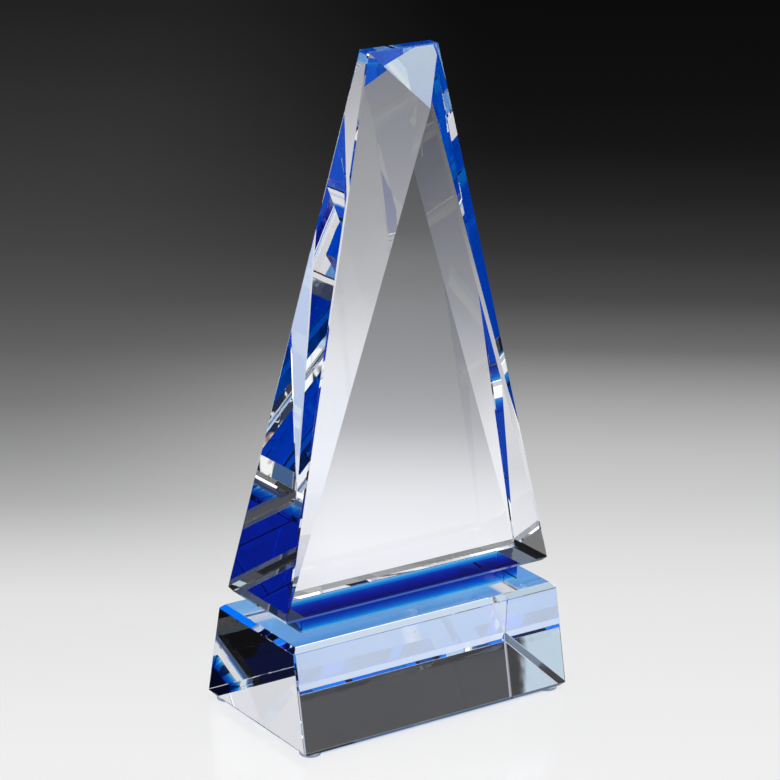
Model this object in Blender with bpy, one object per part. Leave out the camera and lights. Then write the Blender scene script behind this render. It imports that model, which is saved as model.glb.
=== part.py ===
"""Crystal obelisk award: a clear faceted tower on a cobalt slab on a clear base.

Every glass block is made the way it is ground in the workshop: a rectangular
blank is sawn to size, then each facet and each polished chamfer is one flat
cut across it. The blocks are stacked on the Z axis and joined by thin cured
adhesive films. Four clear bumper feet carry the base.

Units are metres. +Z is up, X runs along the width, -Y is the front.
The origin is on the ground plane, at the centre of the footprint.
"""

import math

import bpy
import bmesh
from mathutils import Vector

MM = 0.001

# ---------------------------------------------------------------- feet
FOOT_DIAMETER = 8.0 * MM
FOOT_HEIGHT = 1.0 * MM
FOOT_EDGE_ROUND = 0.3 * MM
FOOT_INSET = 5.6 * MM             # foot centre from the two edges of the underside
FOOT_SEAT_GAP = 0.1 * MM          # room for the foot's own adhesive

# ---------------------------------------------------------------- clear base
BASE_WIDTH = 120.6 * MM
BASE_DEPTH_BOTTOM = 69.2 * MM
BASE_DEPTH_TOP = 51.9 * MM        # where the sloped faces would reach the top plane
BASE_HEIGHT = 40.3 * MM
BASE_TOP_CHAMFER = 1.9 * MM
BASE_BOTTOM_CHAMFER = 2.0 * MM
BASE_CORNER_CHAMFER = 0.6 * MM

# ---------------------------------------------------------------- blue plinth
PLINTH_WIDTH = 99.6 * MM
PLINTH_DEPTH = 29.6 * MM
PLINTH_HEIGHT = 6.7 * MM
PLINTH_CHAMFER = 0.35 * MM

# ---------------------------------------------------------------- tower
TOWER_WIDTH_BOTTOM = 119.7 * MM   # widest outline, at the top of the foot chamfer
TOWER_DEPTH_BOTTOM = 40.4 * MM
TOWER_WIDTH_TOP = 30.7 * MM
TOWER_DEPTH_TOP = 5.5 * MM
OVERALL_HEIGHT = 254.0 * MM
PEAK_BELOW_TOP = 18.9 * MM        # where the crown meets the flanks, on the front face
TOWER_CHAMFER = 0.45 * MM
TOWER_FOOT_CHAMFER = 1.6 * MM     # broad polished chamfer around the bonded underside

# ---------------------------------------------------------------- bonds
FILM_THICKNESS = 0.2 * MM
FILM_GAP = 0.1 * MM               # kept free above and below each film
FILM_INSET = 0.6 * MM             # the film stops short of the slab's chamfer

# Heights of the stack.
BASE_Z0 = FOOT_HEIGHT + FOOT_SEAT_GAP
BASE_Z1 = BASE_Z0 + BASE_HEIGHT
BOND_LINE = FILM_THICKNESS + 2.0 * FILM_GAP
PLINTH_Z0 = BASE_Z1 + BOND_LINE
PLINTH_Z1 = PLINTH_Z0 + PLINTH_HEIGHT
TOWER_Z0 = PLINTH_Z1 + BOND_LINE
TOWER_Z1 = OVERALL_HEIGHT


# ---------------------------------------------------------------- scene set-up
for old in list(bpy.data.objects):
    bpy.data.objects.remove(old, do_unlink=True)

award = bpy.data.collections.new("crystal_obelisk_award")
bpy.context.scene.collection.children.link(award)

anchor = bpy.data.objects.new("award_origin", None)
award.objects.link(anchor)


def material(name, colour, roughness, alpha=1.0, transmission=0.0, ior=1.52):
    """A Principled BSDF material in the piece's own colour."""
    mat = bpy.data.materials.new(name)
    mat.use_nodes = True
    shader = mat.node_tree.nodes["Principled BSDF"]
    shader.inputs["Base Color"].default_value = (*colour, 1.0)
    shader.inputs["Roughness"].default_value = roughness
    shader.inputs["Metallic"].default_value = 0.0
    shader.inputs["Alpha"].default_value = alpha
    shader.inputs["Transmission Weight"].default_value = transmission
    shader.inputs["IOR"].default_value = ior
    mat.diffuse_color = (*colour, 1.0)
    return mat


CLEAR = material("clear_crystal", (0.93, 0.96, 0.98), 0.0, transmission=1.0)
COBALT = material("cobalt_crystal", (0.02, 0.05, 0.55), 0.0, transmission=1.0)
ADHESIVE = material("uv_adhesive", (0.90, 0.94, 0.97), 0.05, transmission=1.0, ior=1.50)
BUMPER = material("clear_bumper", (0.86, 0.91, 0.95), 0.25, transmission=0.8, ior=1.49)


def place(name, bm, mat, z, x=0.0, y=0.0):
    """Turn a bmesh into a named object standing at height z."""
    mesh = bpy.data.meshes.new(name)
    bm.to_mesh(mesh)
    bm.free()
    mesh.materials.append(mat)
    obj = bpy.data.objects.new(name, mesh)
    obj.location = (x, y, z)
    obj.parent = anchor
    award.objects.link(obj)
    return obj


# ---------------------------------------------------------------- grinding
def blank(width, depth, height):
    """A sawn rectangular block that stands on z = 0, centred in x and y."""
    bm = bmesh.new()
    bmesh.ops.create_cube(bm, size=1.0)
    bmesh.ops.scale(bm, vec=(width, depth, height), verts=bm.verts)
    bmesh.ops.translate(bm, vec=(0.0, 0.0, height / 2.0), verts=bm.verts)
    return bm


def grind(bm, point, normal):
    """Cut away all glass beyond a plane and close the block with a flat facet."""
    geom = bm.verts[:] + bm.edges[:] + bm.faces[:]
    cut = bmesh.ops.bisect_plane(
        bm, geom=geom, dist=1e-8, plane_co=point, plane_no=normal,
        clear_outer=True, clear_inner=False)
    rim = [e for e in cut["geom_cut"] if isinstance(e, bmesh.types.BMEdge)]
    if rim:
        bmesh.ops.holes_fill(bm, edges=rim, sides=0)
    bmesh.ops.recalc_face_normals(bm, faces=bm.faces[:])


def facet_through(bm, a, b, c, outward):
    """Grind the facet through three points; outward says which side is air."""
    a, b, c = Vector(a), Vector(b), Vector(c)
    normal = (b - a).cross(c - a).normalized()
    if normal.dot(Vector(outward)) < 0.0:
        normal.negate()
    grind(bm, a, normal)
    return normal


def break_edge(bm, point, normal_a, normal_b, leg):
    """Polish a flat chamfer on the edge where two facets meet.

    leg is how far the chamfer reaches along each facet.
    """
    bisector = (Vector(normal_a) + Vector(normal_b)).normalized()
    half = 0.5 * Vector(normal_a).angle(Vector(normal_b))
    grind(bm, Vector(point) - bisector * (leg * math.sin(half)), bisector)


FRONT, BACK = Vector((0, -1, 0)), Vector((0, 1, 0))
LEFT, RIGHT = Vector((-1, 0, 0)), Vector((1, 0, 0))
UP, DOWN = Vector((0, 0, 1)), Vector((0, 0, -1))


def mirrored(vec, sx, sy):
    return Vector((vec[0] * sx, vec[1] * sy, vec[2]))


# ---------------------------------------------------------------- tower
def build_tower():
    height = TOWER_Z1 - TOWER_Z0
    half_w0, half_d0 = TOWER_WIDTH_BOTTOM / 2, TOWER_DEPTH_BOTTOM / 2
    half_w1, half_d1 = TOWER_WIDTH_TOP / 2, TOWER_DEPTH_TOP / 2
    bm = blank(TOWER_WIDTH_BOTTOM + 2.0 * TOWER_FOOT_CHAMFER, TOWER_DEPTH_BOTTOM, height)

    # Design corners of the front left quarter; the rest are mirrored.
    foot = Vector((-half_w0, -half_d0, TOWER_FOOT_CHAMFER))
    head = Vector((-half_w1, -half_d1, height))
    peak = Vector((0.0, -half_d0, height - PEAK_BELOW_TOP))
    # Half width where the side faces would reach the underside.
    lean = (half_w0 - half_w1) / (height - TOWER_FOOT_CHAMFER)
    sole = half_w0 + TOWER_FOOT_CHAMFER * lean

    # Side faces: flat trapezoids leaning in to the narrow top.
    side = {}
    for sx in (1, -1):
        side[sx] = facet_through(
            bm, mirrored(foot, sx, 1), mirrored(head, sx, 1),
            mirrored(head, sx, -1), (-sx, 0, 0))

    # Flanks beside the upright triangle, and the sloped crown above it,
    # the same on the front and on the back.
    flank, crown = {}, {}
    for sy in (1, -1):
        for sx in (1, -1):
            flank[sx, sy] = facet_through(
                bm, mirrored(foot, sx, sy), mirrored(peak, sx, sy),
                mirrored(head, sx, sy), (-sx, -sy, 0))
        crown[sy] = facet_through(
            bm, mirrored(head, 1, sy), mirrored(head, -1, sy),
            mirrored(peak, 1, sy), (0, -sy, 1))

    # Polished chamfers: the four long edges, the rims of the top and the foot.
    # The creases between the show facets stay sharp.
    for sy in (1, -1):
        face = mirrored(FRONT, 1, sy)
        for sx in (1, -1):
            break_edge(bm, mirrored(foot, sx, sy), side[sx], flank[sx, sy], TOWER_CHAMFER)
        break_edge(bm, mirrored(head, 1, sy), UP, crown[sy], TOWER_CHAMFER)
        break_edge(bm, mirrored((0.0, -half_d0, 0.0), 1, sy), DOWN, face, TOWER_FOOT_CHAMFER)
    for sx in (1, -1):
        break_edge(bm, mirrored(head, sx, 1), UP, side[sx], TOWER_CHAMFER)
        break_edge(bm, mirrored((-sole, 0.0, 0.0), sx, 1), DOWN, side[sx], TOWER_FOOT_CHAMFER)
    return place("crystal_tower", bm, CLEAR, TOWER_Z0)


# ---------------------------------------------------------------- slab
def build_plinth():
    half_w, half_d = PLINTH_WIDTH / 2, PLINTH_DEPTH / 2
    bm = blank(PLINTH_WIDTH, PLINTH_DEPTH, PLINTH_HEIGHT)
    for sx in (1, -1):
        for sy in (1, -1):
            corner = (sx * half_w, sy * half_d, 0.0)
            break_edge(bm, corner, RIGHT * sx, BACK * sy, PLINTH_CHAMFER)
    for level, vertical in ((PLINTH_HEIGHT, UP), (0.0, DOWN)):
        for s in (1, -1):
            break_edge(bm, (s * half_w, 0, level), RIGHT * s, vertical, PLINTH_CHAMFER)
            break_edge(bm, (0, s * half_d, level), BACK * s, vertical, PLINTH_CHAMFER)
    return place("blue_plinth", bm, COBALT, PLINTH_Z0)


# ---------------------------------------------------------------- base
def build_base():
    half_w = BASE_WIDTH / 2
    lower, upper = BASE_DEPTH_BOTTOM / 2, BASE_DEPTH_TOP / 2
    bm = blank(BASE_WIDTH, BASE_DEPTH_BOTTOM, BASE_HEIGHT)

    # Sloped front and back; the ends stay upright.
    slope = {}
    for sy in (1, -1):
        slope[sy] = facet_through(
            bm, (-half_w, sy * lower, 0.0), (half_w, sy * lower, 0.0),
            (0.0, sy * upper, BASE_HEIGHT), (0, sy, 0))

    for sy in (1, -1):
        break_edge(bm, (0, sy * upper, BASE_HEIGHT), slope[sy], UP, BASE_TOP_CHAMFER)
        break_edge(bm, (0, sy * lower, 0.0), slope[sy], DOWN, BASE_BOTTOM_CHAMFER)
        for sx in (1, -1):
            break_edge(bm, (sx * half_w, sy * lower, 0.0),
                       RIGHT * sx, slope[sy], BASE_CORNER_CHAMFER)
    for sx in (1, -1):
        break_edge(bm, (sx * half_w, 0, BASE_HEIGHT), RIGHT * sx, UP, BASE_TOP_CHAMFER)
        break_edge(bm, (sx * half_w, 0, 0.0), RIGHT * sx, DOWN, BASE_BOTTOM_CHAMFER)
    return place("clear_base", bm, CLEAR, BASE_Z0)


# ---------------------------------------------------------------- films, feet
def build_film(name, z):
    bm = blank(PLINTH_WIDTH - 2 * FILM_INSET, PLINTH_DEPTH - 2 * FILM_INSET,
               FILM_THICKNESS)
    return place(name, bm, ADHESIVE, z)


def build_foot(name, sx, sy):
    """A round bumper, its lower rim eased with a small bevel."""
    bm = bmesh.new()
    bmesh.ops.create_cone(bm, cap_ends=True, segments=48,
                          radius1=FOOT_DIAMETER / 2, radius2=FOOT_DIAMETER / 2,
                          depth=FOOT_HEIGHT)
    bmesh.ops.translate(bm, vec=(0, 0, FOOT_HEIGHT / 2), verts=bm.verts)
    rim = [e for e in bm.edges if all(v.co.z < FOOT_HEIGHT * 0.1 for v in e.verts)]
    bmesh.ops.bevel(bm, geom=rim, offset=FOOT_EDGE_ROUND, segments=3, profile=0.5,
                    affect="EDGES")
    foot = place(name, bm, BUMPER, 0.0,
                 x=sx * (BASE_WIDTH / 2 - FOOT_INSET),
                 y=sy * (BASE_DEPTH_BOTTOM / 2 - FOOT_INSET))
    foot.data.shade_smooth()
    foot.data.set_sharp_from_angle(angle=math.radians(40))
    return foot


build_base()
build_film("bond_film_base", BASE_Z1 + FILM_GAP)
build_plinth()
build_film("bond_film_tower", PLINTH_Z1 + FILM_GAP)
build_tower()
build_foot("foot_front_left", -1, -1)
build_foot("foot_front_right", 1, -1)
build_foot("foot_back_left", -1, 1)
build_foot("foot_back_right", 1, 1)

bpy.context.view_layer.update()
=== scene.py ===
"""Looks of the crystal obelisk award.

The glass blocks are optically bonded: light crosses the two bonds without
bending, so the cobalt slab colours the whole tower. Each block here is one
closed mesh whose bonded area carries a face attribute "bond". The glass
material reads it and has a relative index of 1 there and 1.52 elsewhere.
"""

import math

import bpy
import bmesh
from mathutils import Matrix, Vector


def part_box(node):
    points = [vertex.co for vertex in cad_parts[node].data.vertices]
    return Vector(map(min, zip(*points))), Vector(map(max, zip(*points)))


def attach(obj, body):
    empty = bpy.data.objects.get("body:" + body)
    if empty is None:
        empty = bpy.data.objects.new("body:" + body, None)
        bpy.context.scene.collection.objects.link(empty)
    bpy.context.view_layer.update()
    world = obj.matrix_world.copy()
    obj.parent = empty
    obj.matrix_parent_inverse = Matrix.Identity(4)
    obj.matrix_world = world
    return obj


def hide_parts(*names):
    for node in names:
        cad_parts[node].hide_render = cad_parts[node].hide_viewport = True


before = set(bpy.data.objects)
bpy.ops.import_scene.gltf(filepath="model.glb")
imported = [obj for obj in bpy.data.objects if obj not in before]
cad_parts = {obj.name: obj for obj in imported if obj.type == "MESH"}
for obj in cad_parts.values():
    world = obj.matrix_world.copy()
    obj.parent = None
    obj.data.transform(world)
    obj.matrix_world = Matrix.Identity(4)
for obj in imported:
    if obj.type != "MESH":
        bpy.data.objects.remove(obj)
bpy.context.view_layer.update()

MM = 0.001


# ------------------------------------------------------------------ helpers
def grind(bm, point, normal):
    """Cut away the glass beyond a plane and close the block with one facet."""
    cut = bmesh.ops.bisect_plane(
        bm, geom=bm.verts[:] + bm.edges[:] + bm.faces[:], dist=1e-8,
        plane_co=point, plane_no=normal, clear_outer=True, clear_inner=False)
    rim = [e for e in cut["geom_cut"] if isinstance(e, bmesh.types.BMEdge)]
    if rim:
        bmesh.ops.holes_fill(bm, edges=rim, sides=0)
    bmesh.ops.recalc_face_normals(bm, faces=bm.faces[:])


def facet_through(bm, a, b, c, outward):
    a, b, c = Vector(a), Vector(b), Vector(c)
    normal = (b - a).cross(c - a).normalized()
    if normal.dot(Vector(outward)) < 0.0:
        normal.negate()
    grind(bm, a, normal)
    return normal


def break_edge(bm, point, na, nb, leg):
    """Flat polished chamfer; leg is its reach along each facet."""
    bisector = (Vector(na) + Vector(nb)).normalized()
    half = 0.5 * Vector(na).angle(Vector(nb))
    grind(bm, Vector(point) - bisector * (leg * math.sin(half)), bisector)


def blank(low, high):
    bm = bmesh.new()
    bmesh.ops.create_cube(bm, size=1.0)
    size = Vector(high) - Vector(low)
    bmesh.ops.scale(bm, vec=size, verts=bm.verts)
    bmesh.ops.translate(bm, vec=(Vector(low) + Vector(high)) / 2, verts=bm.verts)
    bm.faces.layers.float.new("bond")
    return bm


def bond_patch(bm, up, half_w, half_d):
    """Split the block's top or bottom face so that it holds the bonded area."""
    sign = 1.0 if up else -1.0
    face = max(bm.faces, key=lambda f: f.calc_area() if f.normal.z * sign > 0.999 else -1.0)
    bmesh.ops.inset_individual(bm, faces=[face], thickness=0.4 * MM, depth=0.0,
                               use_even_offset=True)
    for v in face.verts:
        v.co.x = math.copysign(half_w, v.co.x)
        v.co.y = math.copysign(half_d, v.co.y)
    return face


def finish_block(name, bm, bond_faces, mat, replaces, arris=0.0):
    layer = bm.faces.layers.float["bond"]
    for f in bm.faces:
        f[layer] = 0.0
    for f in bond_faces:
        f[layer] = 1.0
    if arris:
        # the polisher breaks every sharp edge by a hair
        bm.normal_update()
        sharp = [e for e in bm.edges if len(e.link_faces) == 2 and e.calc_face_angle() > math.radians(6)]
        bmesh.ops.bevel(bm, geom=sharp, offset=arris, offset_type="OFFSET", segments=1,
                        profile=0.5, affect="EDGES", clamp_overlap=True)
        bmesh.ops.recalc_face_normals(bm, faces=bm.faces[:])
    mesh = bpy.data.meshes.new(name)
    bm.to_mesh(mesh)
    bm.free()
    mesh.materials.append(mat)
    obj = bpy.data.objects.new(name, mesh)
    bpy.context.scene.collection.objects.link(obj)
    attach(obj, "root")
    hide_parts(*replaces)
    return obj


def sgn(v, sx, sy):
    return Vector((v[0] * sx, v[1] * sy, v[2]))


# ------------------------------------------------------------------ materials
class Nodes:
    """Short hand for building node networks."""

    def __init__(self, tree):
        self.tree = tree

    def new(self, kind, **settings):
        n = self.tree.nodes.new(kind)
        for key, value in settings.items():
            setattr(n, key, value)
        return n

    def put(self, socket, value):
        if isinstance(value, (int, float, tuple, Vector)):
            socket.default_value = value
        else:
            self.tree.links.new(value, socket)

    def math(self, op, *args, clamp=False):
        n = self.new("ShaderNodeMath", operation=op, use_clamp=clamp)
        for i, v in enumerate(args):
            self.put(n.inputs[i], v)
        return n.outputs[0]

    def dot(self, vector, axis):
        n = self.new("ShaderNodeVectorMath", operation="DOT_PRODUCT")
        self.put(n.inputs[0], vector)
        self.put(n.inputs[1], tuple(axis))
        return n.outputs["Value"]

    def split(self, vector):
        n = self.new("ShaderNodeSeparateXYZ")
        self.put(n.inputs[0], vector)
        return n.outputs[0], n.outputs[1], n.outputs[2]

    def step(self, value, lo, hi):
        """0 below lo, 1 above hi, smooth between (lo may be the larger one)."""
        n = self.new("ShaderNodeMapRange", interpolation_type="SMOOTHSTEP")
        lower, upper = min(lo, hi), max(lo, hi)
        self.put(n.inputs["From Min"], lower)
        self.put(n.inputs["From Max"], upper)
        self.put(n.inputs["To Min"], 0.0 if lo < hi else 1.0)
        self.put(n.inputs["To Max"], 1.0 if lo < hi else 0.0)
        self.put(n.inputs["Value"], value)
        return n.outputs[0]

    def band(self, value, lo, hi, soft):
        return self.math("MULTIPLY", self.step(value, lo - soft / 2, lo + soft / 2),
                         self.step(value, hi + soft / 2, hi - soft / 2))

    def mix(self, fac, a, b):
        n = self.new("ShaderNodeMix", data_type="RGBA")
        self.put(n.inputs["Factor"], fac)
        self.put(n.inputs[6], (*a, 1) if isinstance(a, tuple) else a)
        self.put(n.inputs[7], (*b, 1) if isinstance(b, tuple) else b)
        return n.outputs[2]

    def multiply(self, a, b):
        n = self.new("ShaderNodeMix", data_type="RGBA", blend_type="MULTIPLY")
        n.inputs["Factor"].default_value = 1.0
        self.put(n.inputs[6], (*a, 1) if isinstance(a, tuple) else a)
        self.put(n.inputs[7], (*b, 1) if isinstance(b, tuple) else b)
        return n.outputs[2]

    def curve(self, value, stops):
        """Piecewise linear grey value; stops are (input, output)."""
        lo, hi = stops[0][0], stops[-1][0]
        top = max(v for _, v in stops)
        m = self.new("ShaderNodeMapRange")
        self.put(m.inputs["From Min"], lo)
        self.put(m.inputs["From Max"], hi)
        self.put(m.inputs["Value"], value)
        r = self.new("ShaderNodeValToRGB")
        els = r.color_ramp.elements
        els[0].position, els[0].color = 0.0, (*[stops[0][1] / top] * 3, 1)
        els[1].position, els[1].color = 1.0, (*[stops[-1][1] / top] * 3, 1)
        for x, v in stops[1:-1]:
            els.new((x - lo) / (hi - lo)).color = (*[v / top] * 3, 1)
        self.put(r.inputs[0], m.outputs[0])
        return self.multiply(r.outputs[0], (top, top, top))


def new_material(name):
    mat = bpy.data.materials.new(name)
    mat.use_nodes = True
    nt = mat.node_tree
    nt.nodes.clear()
    out = nt.nodes.new("ShaderNodeOutputMaterial")
    return mat, nt, out


def glass(name, ior, clear, veil, ripple=1.0, absorb=None, density=0.0):
    """Polished glass: slow polishing waves bend the facets by about a tenth of
    a degree, and a faint veil varies the tint from clear to veil."""
    mat, nt, out = new_material(name)
    k = Nodes(nt)
    p = k.new("ShaderNodeBsdfPrincipled")
    p.inputs["Transmission Weight"].default_value = 1.0
    p.inputs["Roughness"].default_value = 0.0
    where = k.new("ShaderNodeTexCoord").outputs["Object"]
    lap = k.new("ShaderNodeTexNoise")
    lap.inputs["Scale"].default_value = 55.0
    lap.inputs["Detail"].default_value = 1.5
    k.put(lap.inputs["Vector"], where)
    haze = k.new("ShaderNodeTexNoise")
    haze.inputs["Scale"].default_value = 16.0
    haze.inputs["Detail"].default_value = 3.0
    k.put(haze.inputs["Vector"], where)
    k.put(p.inputs["Base Color"], k.mix(k.step(haze.outputs[0], 0.35, 0.70), clear, veil))
    bump = k.new("ShaderNodeBump")
    bump.inputs["Strength"].default_value = 1.0
    bump.inputs["Distance"].default_value = 0.000012 * ripple
    k.put(bump.inputs["Height"], lap.outputs[0])
    k.put(p.inputs["Normal"], bump.outputs[0])
    # index of refraction against the neighbour: air on the facets, glass at a bond
    attr = k.new("ShaderNodeAttribute", attribute_name="bond")
    k.put(p.inputs["IOR"], k.math("MULTIPLY_ADD", attr.outputs["Fac"], 1.0 - ior, ior))
    nt.links.new(p.outputs[0], out.inputs["Surface"])
    if absorb is not None:
        v = nt.nodes.new("ShaderNodeVolumeAbsorption")
        v.inputs["Color"].default_value = (*absorb, 1)
        v.inputs["Density"].default_value = density
        nt.links.new(v.outputs[0], out.inputs["Volume"])
    return mat


def rubber(name):
    """Clear polyurethane: cloudy, faintly blue, with a fine orange-peel skin."""
    mat, nt, out = new_material(name)
    k = Nodes(nt)
    p = k.new("ShaderNodeBsdfPrincipled")
    where = k.new("ShaderNodeTexCoord").outputs["Object"]
    cloud = k.new("ShaderNodeTexNoise")
    cloud.inputs["Scale"].default_value = 420.0
    cloud.inputs["Detail"].default_value = 3.0
    k.put(cloud.inputs["Vector"], where)
    peel = k.new("ShaderNodeTexNoise")
    peel.inputs["Scale"].default_value = 2500.0
    k.put(peel.inputs["Vector"], where)
    k.put(p.inputs["Base Color"], k.mix(cloud.outputs[0], (0.74, 0.86, 0.97), (0.88, 0.95, 1.0)))
    k.put(p.inputs["Roughness"], k.math("MULTIPLY_ADD", cloud.outputs[0], 0.12, 0.20))
    p.inputs["Transmission Weight"].default_value = 0.6
    p.inputs["IOR"].default_value = 1.49
    bump = k.new("ShaderNodeBump")
    bump.inputs["Strength"].default_value = 0.4
    bump.inputs["Distance"].default_value = 0.00002
    k.put(bump.inputs["Height"], peel.outputs[0])
    k.put(p.inputs["Normal"], bump.outputs[0])
    nt.links.new(p.outputs[0], out.inputs["Surface"])
    return mat


CRYSTAL = glass("clear_crystal", 1.52, (1.0, 1.0, 1.0), (0.985, 0.992, 0.996))
# absorption per metre is density * (1 - colour): 700, 205 and 52 for red, green and blue
COBALT = glass("cobalt_crystal", 1.52, (0.72, 0.87, 1.0), (0.66, 0.84, 1.0),
               absorb=(0.0, 0.707, 0.926), density=700.0)
FILM = glass("uv_adhesive", 1.52, (1.0, 1.0, 1.0), (0.99, 0.995, 1.0), ripple=0.5)
BUMPER = rubber("clear_bumper")

# ------------------------------------------------------------------ glass
t_lo, t_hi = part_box("crystal_tower")
p_lo, p_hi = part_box("blue_plinth")
b_lo, b_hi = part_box("clear_base")
f_lo, f_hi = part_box("bond_film_tower")
g_lo, g_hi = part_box("bond_film_base")

FILM_HALF = 0.03 * MM                       # half the thickness of a cured film
bond_top = (t_lo.z + p_hi.z) / 2            # middle of the upper bond line
bond_low = (p_lo.z + b_hi.z) / 2
PLINTH_CHAMFER = 0.35 * MM
bond_w = p_hi.x - PLINTH_CHAMFER
bond_d = p_hi.y - PLINTH_CHAMFER


def tower():
    w0, d0, w1, d1 = 59.85 * MM, 20.2 * MM, 15.35 * MM, 2.75 * MM
    chamfer = 0.45 * MM
    z0, z1 = bond_top + FILM_HALF, t_hi.z
    widest = t_lo.z + 1.6 * MM              # top of the broad chamfer round the underside
    leg = widest - z0
    foot, head = Vector((-w0, -d0, widest)), Vector((-w1, -d1, z1))
    peak = Vector((0, -d0, z1 - 18.9 * MM))
    sole = w0 + leg * (w0 - w1) / (z1 - widest)
    bm = blank((-w0 - 2 * MM, -d0, z0), (w0 + 2 * MM, d0, z1))
    side, flank, crown = {}, {}, {}
    for sx in (1, -1):
        side[sx] = facet_through(bm, sgn(foot, sx, 1), sgn(head, sx, 1), sgn(head, sx, -1), (-sx, 0, 0))
    for sy in (1, -1):
        for sx in (1, -1):
            flank[sx, sy] = facet_through(bm, sgn(foot, sx, sy), sgn(peak, sx, sy), sgn(head, sx, sy), (-sx, -sy, 0))
        crown[sy] = facet_through(bm, sgn(head, 1, sy), sgn(head, -1, sy), sgn(peak, 1, sy), (0, -sy, 1))
    up, down = Vector((0, 0, 1)), Vector((0, 0, -1))
    for sy in (1, -1):
        for sx in (1, -1):
            break_edge(bm, sgn(foot, sx, sy), side[sx], flank[sx, sy], chamfer)
        break_edge(bm, sgn(head, 1, sy), up, crown[sy], chamfer)
        break_edge(bm, (0, -sy * d0, z0), down, Vector((0, -sy, 0)), leg)
    for sx in (1, -1):
        break_edge(bm, sgn(head, sx, 1), up, side[sx], chamfer)
        break_edge(bm, (-sx * sole, 0, z0), down, side[sx], leg)
    patch = bond_patch(bm, False, bond_w, bond_d)
    return finish_block("tower_crystal", bm, [patch], CRYSTAL, ["crystal_tower"],
                        arris=0.11 * MM)


def plinth():
    bm = blank((p_lo.x, p_lo.y, bond_low + FILM_HALF), (p_hi.x, p_hi.y, bond_top - FILM_HALF))
    z0, z1 = bond_low + FILM_HALF, bond_top - FILM_HALF
    X, Y, Z = Vector((1, 0, 0)), Vector((0, 1, 0)), Vector((0, 0, 1))
    for sx in (1, -1):
        for sy in (1, -1):
            break_edge(bm, (sx * p_hi.x, sy * p_hi.y, 0), X * sx, Y * sy, PLINTH_CHAMFER)
    for level, n in ((z1, Z), (z0, -Z)):
        for s in (1, -1):
            break_edge(bm, (s * p_hi.x, 0, level), X * s, n, PLINTH_CHAMFER)
            break_edge(bm, (0, s * p_hi.y, level), Y * s, n, PLINTH_CHAMFER)
    bonds = [f for f in bm.faces if abs(f.normal.z) > 0.999]
    return finish_block("plinth_cobalt", bm, bonds, COBALT, ["blue_plinth"])


def base():
    w = b_hi.x
    z0, z1 = b_lo.z, bond_low - FILM_HALF
    lower, upper = 34.6 * MM, 25.95 * MM
    top, bottom, corner = 1.9 * MM, 2.0 * MM, 0.6 * MM
    height = b_hi.z - b_lo.z
    bm = blank((-w, -lower, z0), (w, lower, z1))
    slope = {}
    for sy in (1, -1):
        slope[sy] = facet_through(bm, (-w, sy * lower, z0), (w, sy * lower, z0), (0, sy * upper, z0 + height), (0, sy, 0))
    X, Z = Vector((1, 0, 0)), Vector((0, 0, 1))
    for sy in (1, -1):
        break_edge(bm, (0, sy * upper, z1), slope[sy], Z, top)
        break_edge(bm, (0, sy * lower, z0), slope[sy], -Z, bottom)
        for sx in (1, -1):
            break_edge(bm, (sx * w, sy * lower, z0), X * sx, slope[sy], corner)
    for sx in (1, -1):
        break_edge(bm, (sx * w, 0, z1), X * sx, Z, top)
        break_edge(bm, (sx * w, 0, z0), X * sx, -Z, bottom)
    patch = bond_patch(bm, True, bond_w, bond_d)
    return finish_block("base_crystal", bm, [patch], CRYSTAL, ["clear_base"],
                        arris=0.11 * MM)


def film(name, middle, node):
    bm = blank((-bond_w, -bond_d, middle - FILM_HALF * 0.8), (bond_w, bond_d, middle + FILM_HALF * 0.8))
    bonds = [f for f in bm.faces if abs(f.normal.z) > 0.999]
    return finish_block(name, bm, bonds, FILM, [node])


tower()
plinth()
base()
film("film_tower_bond", bond_top, "bond_film_tower")
film("film_base_bond", bond_low, "bond_film_base")

for name in ("foot_front_left", "foot_front_right", "foot_back_left", "foot_back_right"):
    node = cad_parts[name]
    for s in node.material_slots:
        s.material = BUMPER

# ------------------------------------------------------------------ camera
CAM = Vector((-0.62299, -0.89235, 0.49663))
AZ, EL, ROLL = math.radians(34.8601), math.radians(18.9323), math.radians(0.9788)
fwd = Vector((math.sin(AZ) * math.cos(EL), math.cos(AZ) * math.cos(EL), -math.sin(EL)))
right = fwd.cross(Vector((0, 0, 1))).normalized()
upv = right.cross(fwd)
rx = right * math.cos(ROLL) + upv * math.sin(ROLL)
ry = upv * math.cos(ROLL) - right * math.sin(ROLL)
cam_data = bpy.data.cameras.new("camera")
cam_data.sensor_width = 36.0
cam_data.lens = 3087.1 / 780.0 * 36.0
cam_data.clip_start, cam_data.clip_end = 0.01, 50.0
cam = bpy.data.objects.new("camera", cam_data)
m = Matrix((rx, ry, -fwd)).transposed().to_4x4()
m.translation = CAM
cam.matrix_world = m
bpy.context.scene.collection.objects.link(cam)
bpy.context.scene.camera = cam

# ------------------------------------------------------------------ stage
AWAY = Vector((math.sin(AZ), math.cos(AZ), 0.0))      # level direction the camera looks in
ACROSS = Vector((math.cos(AZ), -math.sin(AZ), 0.0))   # level direction to the right of the picture


# brightness of the floor against the distance behind the award, left and right of it
FLOOR_LEFT = [(-1.0, 0.88), (-0.06, 0.93), (0.0, 0.88), (0.09, 0.81), (0.14, 0.67), (0.20, 0.44),
              (0.265, 0.31), (0.335, 0.20), (0.415, 0.13), (0.50, 0.088), (0.60, 0.063),
              (0.70, 0.050), (0.82, 0.040), (0.95, 0.032), (1.07, 0.025), (1.25, 0.018), (2.0, 0.008)]
FLOOR_RIGHT = [(-1.0, 0.88), (-0.06, 0.93), (0.0, 0.90), (0.095, 0.85), (0.152, 0.78), (0.212, 0.665),
               (0.279, 0.553), (0.35, 0.388), (0.43, 0.165), (0.517, 0.071), (0.614, 0.037),
               (0.722, 0.019), (0.844, 0.009), (0.98, 0.006), (1.28, 0.004), (2.0, 0.002)]


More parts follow.
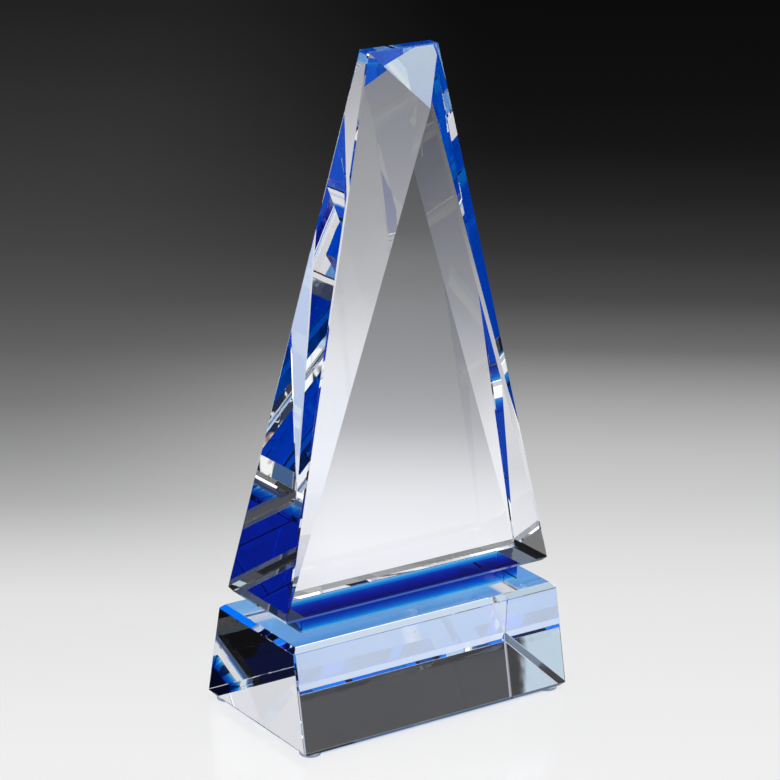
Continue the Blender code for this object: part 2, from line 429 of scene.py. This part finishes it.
# the same floor as the glass sees it
FLOOR_THROUGH = [(-1.0, 0.86), (0.0, 0.85), (0.05, 0.88), (0.11, 0.96), (0.138, 1.01), (0.166, 1.02),
                 (0.194, 0.97), (0.224, 0.91), (0.255, 0.80), (0.287, 0.65), (0.32, 0.49), (0.355, 0.41),
                 (0.392, 0.35), (0.43, 0.305), (0.47, 0.275), (0.513, 0.245), (0.557, 0.20),
                 (0.604, 0.172), (0.653, 0.117), (0.705, 0.093), (0.76, 0.080), (0.85, 0.065), (1.2, 0.05)]
# and how much of it is left towards the left, where the background is darker
LEFT_SHADE = [(-0.30, 0.45), (-0.20, 0.56), (-0.16, 0.70), (-0.12, 0.76), (-0.075, 0.77),
              (-0.05, 0.94), (-0.035, 1.0), (0.5, 1.0)]


def floor_stage():
    mesh = bpy.data.meshes.new("floor")
    bm = bmesh.new()
    bmesh.ops.create_circle(bm, cap_ends=True, radius=8.0, segments=96)
    bm.to_mesh(mesh)
    bm.free()
    obj = bpy.data.objects.new("floor", mesh)
    bpy.context.scene.collection.objects.link(obj)
    mat, nt, out = new_material("graded_floor")
    k = Nodes(nt)
    place = k.new("ShaderNodeNewGeometry").outputs["Position"]
    behind, across = k.dot(place, AWAY), k.dot(place, ACROSS)
    x, y, _ = k.split(place)
    path = k.new("ShaderNodeLightPath")
    seen = path.outputs["Is Camera Ray"]
    through = k.math("SUBTRACT", 1.0, seen)
    direct = k.mix(k.step(across, -0.20, 0.08), k.curve(behind, FLOOR_LEFT), k.curve(behind, FLOOR_RIGHT))
    bent = k.multiply(k.multiply(k.curve(behind, FLOOR_THROUGH), k.curve(across, LEFT_SHADE)), (0.985, 0.99, 1.03))
    # painted pool of light: the floor is drawn brighter just in front of the award
    painted_light_pool = k.math("MULTIPLY", k.math("MULTIPLY", k.step(across, -0.11, -0.02), k.step(across, 0.16, 0.04)),
                  k.step(behind, -0.05, -0.16))
    direct = k.multiply(direct, k.mix(painted_light_pool, (1.0, 1.0, 1.0), (1.14, 1.14, 1.14)))
    body = k.mix(seen, bent, direct)
    # light that has passed the cobalt: blue under the base, paler behind it
    under = k.math("MULTIPLY", k.band(x, -0.0565, 0.0565, 0.003), k.band(y, -0.0310, 0.0315, 0.003))
    rear = k.math("MULTIPLY", k.band(x, -0.055, 0.068, 0.02), k.band(y, 0.030, 0.064, 0.012))
    spot = k.math("MULTIPLY", k.band(x, -0.010, 0.024, 0.02), k.band(y, 0.145, 0.190, 0.02))
    right = k.math("MULTIPLY", k.step(x, 0.10, 0.13), k.band(y, -0.10, -0.03, 0.02))
    body = k.multiply(body, k.mix(k.math("MULTIPLY", rear, through), (1.0, 1.0, 1.0), (0.76, 0.88, 1.06)))
    body = k.multiply(body, k.mix(k.math("MULTIPLY", spot, through), (1.0, 1.0, 1.0), (0.82, 0.95, 0.96)))
    body = k.multiply(body, k.mix(k.math("MULTIPLY", right, through), (1.0, 1.0, 1.0), (0.72, 0.84, 1.05)))
    body = k.mix(under, body, k.mix(k.step(y, 0.004, 0.012), (0.10, 0.32, 0.72), (0.19, 0.46, 0.85)))
    # painted reflection: for reflection rays the floor is drawn much darker, so the glass shows little of it, least
    # of all at the sides
    kept = k.math("MULTIPLY_ADD", k.step(y, -0.02, -0.04), 0.17, 0.03)
    lost = k.math("MULTIPLY", path.outputs["Is Reflection Ray"], k.math("SUBTRACT", 1.0, kept))
    painted_reflection_kept = k.math("SUBTRACT", 1.0, lost)
    p = k.new("ShaderNodeBsdfPrincipled")
    k.put(p.inputs["Base Color"], k.multiply(body, k.mix(painted_reflection_kept, (0.0, 0.0, 0.0), (0.30, 0.30, 0.30))))
    k.put(p.inputs["Roughness"], 0.16)
    k.put(p.inputs["IOR"], 1.36)
    k.put(p.inputs["Specular IOR Level"],
          k.math("MULTIPLY", k.math("MULTIPLY", k.step(behind, 0.32, 0.10), painted_reflection_kept), 0.5))
    k.put(p.inputs["Emission Color"], body)
    k.put(p.inputs["Emission Strength"], k.math("MULTIPLY", painted_reflection_kept, 0.86))
    nt.links.new(p.outputs[0], out.inputs["Surface"])
    mesh.materials.append(mat)


floor_stage()


def softbox(name, pos, aim, width, height, radiance, colour=(1, 1, 1)):
    data = bpy.data.lights.new(name, "AREA")
    data.shape = "RECTANGLE"
    data.size, data.size_y = width, height
    data.energy = radiance * math.pi * width * height
    data.color = colour
    obj = bpy.data.objects.new(name, data)
    z = (Vector(pos) - Vector(aim)).normalized()
    obj.matrix_world = Matrix.Translation(pos) @ z.to_track_quat("Z", "Y").to_matrix().to_4x4()
    obj.visible_camera = False
    bpy.context.scene.collection.objects.link(obj)
    return obj


softbox("softbox_over", (0.1, 0.1, 1.7), (0, 0, 0.0), 1.8, 1.5, 1.1)


def studio():
    """Dark room with softboxes, painted by direction (azimuth from +Y to +X, elevation)."""
    world = bpy.data.worlds.new("studio")
    bpy.context.scene.world = world
    world.use_nodes = True
    nt = world.node_tree
    nt.nodes.clear()
    k = Nodes(nt)
    out = k.new("ShaderNodeOutputWorld")
    bg = k.new("ShaderNodeBackground")
    ray = k.new("ShaderNodeTexCoord").outputs["Generated"]
    x, y, z = k.split(ray)
    az = k.math("MULTIPLY", k.math("ARCTAN2", x, y), 180.0 / math.pi)
    el = k.math("MULTIPLY", k.math("ARCSINE", z), 180.0 / math.pi)
    ripple = k.new("ShaderNodeTexNoise")
    ripple.inputs["Scale"].default_value = 60.0
    ripple.inputs["Detail"].default_value = 1.0
    k.put(ripple.inputs["Vector"], ray)
    wobble = k.math("MULTIPLY_ADD", ripple.outputs[0], 0.2, -0.10)
    waz, wel = k.math("ADD", az, wobble), k.math("ADD", el, wobble)
    level = (0.004, 0.004, 0.005)
    for a0, a1, e0, e1, soft, colour in SOFTBOXES:
        mask = k.math("MULTIPLY", k.band(waz, a0, a1, soft), k.band(wel, e0, e1, soft))
        level = k.mix(mask, level, colour)
    # slatted wall to the right: height of the ray where it meets the wall
    reach = k.math("MAXIMUM", k.dot(ray, WALL), 0.02)
    slat = k.math("ADD", k.math("DIVIDE", z, reach), k.math("MULTIPLY", wobble, 0.012))
    wall = (0.012, 0.022, 0.065)
    for h0, h1, soft, colour in SLATS:
        wall = k.mix(k.band(slat, h0, h1, soft), wall, colour)
    on_wall = k.math("MULTIPLY", k.band(waz, 100.0, 153.0, 1.0), k.band(slat, 0.325, 0.52, 0.01))
    level = k.mix(on_wall, level, wall)
    # the room itself is a plain pale backdrop when it is looked at directly
    seen = k.new("ShaderNodeLightPath").outputs["Is Camera Ray"]
    level = k.mix(seen, level, k.mix(k.step(el, -2.0, 30.0), (0.60, 0.62, 0.65), (0.30, 0.32, 0.35)))
    k.put(bg.inputs["Color"], level)
    nt.links.new(bg.outputs[0], out.inputs["Surface"])
    world.cycles_visibility.diffuse = False


# azimuth from, to, elevation from, to, width of the soft edge (degrees), radiance
SOFTBOXES = [
    (-181.0, 181.0, 50.0, 91.0, 3.0, (0.82, 0.85, 0.90)),       # ceiling panels
    (-62.0, -38.0, 50.5, 55.0, 2.0, (1.80, 1.85, 1.90)),
    (-84.0, -54.0, 54.5, 66.0, 2.0, (0.006, 0.006, 0.012)),     # dark gap between them
    (-181.0, -60.0, -12.0, 12.0, 6.0, (0.26, 0.27, 0.29)),      # pale walls near the floor
    (60.0, 100.0, -12.0, 12.0, 6.0, (0.30, 0.31, 0.33)),
    (-60.0, 18.0, -12.0, 9.0, 3.0, (0.16, 0.19, 0.25)),
    (12.0, 60.0, 23.6, 33.0, 1.0, (0.040, 0.041, 0.045)),       # dim backdrop
    (12.0, 60.0, 20.4, 23.6, 0.5, (0.032, 0.048, 0.107)),
    (24.0, 40.0, 13.6, 16.4, 0.8, (0.037, 0.082, 0.320)),
    (20.0, 48.0, 9.4, 11.3, 0.6, (0.22, 0.225, 0.235)),         # strip low behind
    (20.0, 48.0, 7.2, 9.6, 0.6, (0.33, 0.335, 0.345)),
    (20.0, 48.0, -2.0, 3.0, 1.0, (0.07, 0.12, 0.21)),
    (42.0, 58.0, 44.0, 52.0, 3.0, (0.62, 0.74, 0.88)),          # high, back right
    (46.0, 50.0, 40.0, 41.2, 0.5, (0.07, 0.07, 0.08)),
    (-14.0, 14.0, 22.0, 34.0, 3.0, (0.45, 0.48, 0.55)),
    (0.0, 9.0, 40.0, 43.5, 1.5, (0.90, 0.92, 0.95)),
    (-76.0, -37.65, 14.0, 50.0, 0.25, (0.50, 0.63, 0.74)),      # large one, back left
    (-36.3, -34.0, 20.0, 31.0, 0.25, (0.14, 0.19, 0.27)),
    (-30.0, -20.0, 30.0, 38.0, 2.0, (0.20, 0.20, 0.20)),
    (-126.0, -93.0, 42.0, 56.0, 3.0, (1.05, 1.10, 1.15)),       # key, front left
    (62.0, 74.0, 12.0, 26.0, 3.0, (0.47, 0.49, 0.52)),
    (88.0, 95.0, 39.5, 41.5, 0.8, (0.08, 0.08, 0.09)),
    (136.0, 142.0, 38.5, 41.0, 0.5, (1.0, 1.0, 1.0)),
    (116.0, 130.0, 11.5, 15.5, 1.0, (0.06, 0.09, 0.18)),
    (100.0, 181.0, -12.0, 8.0, 3.0, (0.80, 0.81, 0.85)),        # low, front right
]
WALL = (math.sin(math.radians(117.0)), math.cos(math.radians(117.0)), 0.0)
# height from, to, width of the soft edge, radiance
SLATS = [
    (0.325, 0.3505, 0.004, (0.51, 0.73, 0.91)),
    (0.3605, 0.3705, 0.003, (0.26, 0.32, 0.45)),
    (0.3735, 0.3775, 0.004, (0.45, 0.66, 0.91)),
    (0.3775, 0.3860, 0.003, (1.00, 1.00, 1.00)),
    (0.3995, 0.4008, 0.001, (0.80, 0.85, 0.95)),
    (0.4100, 0.4150, 0.004, (0.74, 0.53, 0.50)),
    (0.4150, 0.4225, 0.003, (1.00, 1.00, 1.00)),
    (0.4225, 0.4260, 0.003, (0.40, 0.36, 0.32)),
    (0.4260, 0.4460, 0.004, (0.040, 0.110, 0.250)),
    (0.4620, 0.4660, 0.002, (0.035, 0.045, 0.240)),
    (0.4705, 0.4735, 0.002, (0.030, 0.065, 0.240)),
    (0.4820, 0.4910, 0.003, (0.070, 0.150, 0.310)),
]
studio()

sc = bpy.context.scene
sc.view_settings.view_transform = "Standard"
sc.view_settings.look = "None"
sc.cycles.max_bounces = 32
sc.cycles.transmission_bounces = 32
sc.cycles.glossy_bounces = 24
sc.cycles.diffuse_bounces = 3
sc.cycles.transparent_max_bounces = 32
sc.cycles.volume_bounces = 2
sc.cycles.use_denoising = True
